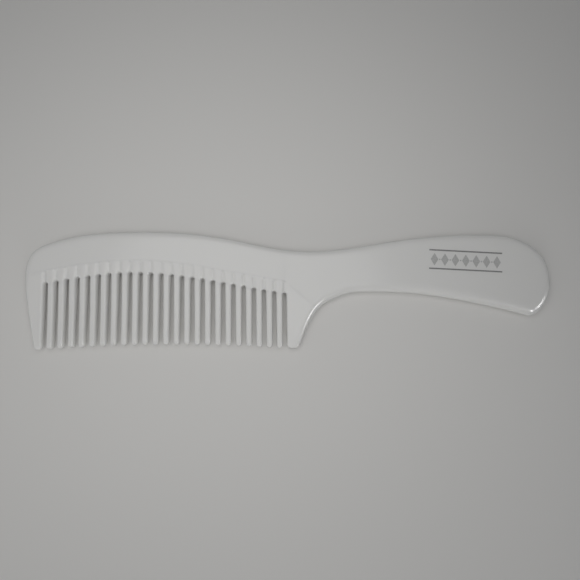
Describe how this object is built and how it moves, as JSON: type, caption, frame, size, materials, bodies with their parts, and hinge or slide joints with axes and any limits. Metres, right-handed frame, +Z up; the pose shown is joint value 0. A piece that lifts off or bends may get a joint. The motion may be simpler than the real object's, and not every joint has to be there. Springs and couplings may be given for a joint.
{
  "type": "handled hair comb",
  "caption": "White moulded handle comb with an arched spine, a row of medium-wide teeth and two thin printed rules on its handle.",
  "frame": {"origin": "under the middle of the comb's bounding box, on the surface that it lies on", "axes": "+X towards the end of the handle, +Y towards the spine with the teeth pointing to -Y, +Z up out of the printed face"},
  "size_m": [0.203, 0.0452, 0.0047],
  "materials": {
    "moulded_plastic": "glossy white polystyrene, faintly warm, with soft flow marks and fine handling scratches",
    "rule_ink": "dark grey printed ink, slightly worn",
    "ornament_ink": "light grey printed ink, slightly worn"
  },
  "bodies": {
    "root": {"handle": "moulded_plastic", "spine": "moulded_plastic", "tooth_bar": "moulded_plastic", "guard_tooth": "moulded_plastic", "heel_tooth": "moulded_plastic", "tooth_01": "moulded_plastic", "tooth_02": "moulded_plastic", "tooth_03": "moulded_plastic", "tooth_04": "moulded_plastic", "tooth_05": "moulded_plastic", "tooth_06": "moulded_plastic", "tooth_07": "moulded_plastic", "tooth_08": "moulded_plastic", "tooth_09": "moulded_plastic", "tooth_10": "moulded_plastic", "tooth_11": "moulded_plastic", "tooth_12": "moulded_plastic", "tooth_13": "moulded_plastic", "tooth_14": "moulded_plastic", "tooth_15": "moulded_plastic", "tooth_16": "moulded_plastic", "tooth_17": "moulded_plastic", "tooth_18": "moulded_plastic", "tooth_19": "moulded_plastic", "tooth_20": "moulded_plastic", "tooth_21": "moulded_plastic", "tooth_22": "moulded_plastic", "tooth_23": "moulded_plastic", "print_rule_upper": "rule_ink", "print_rule_lower": "rule_ink", "print_ornament": "ornament_ink"}
  },
  "joints": []
}
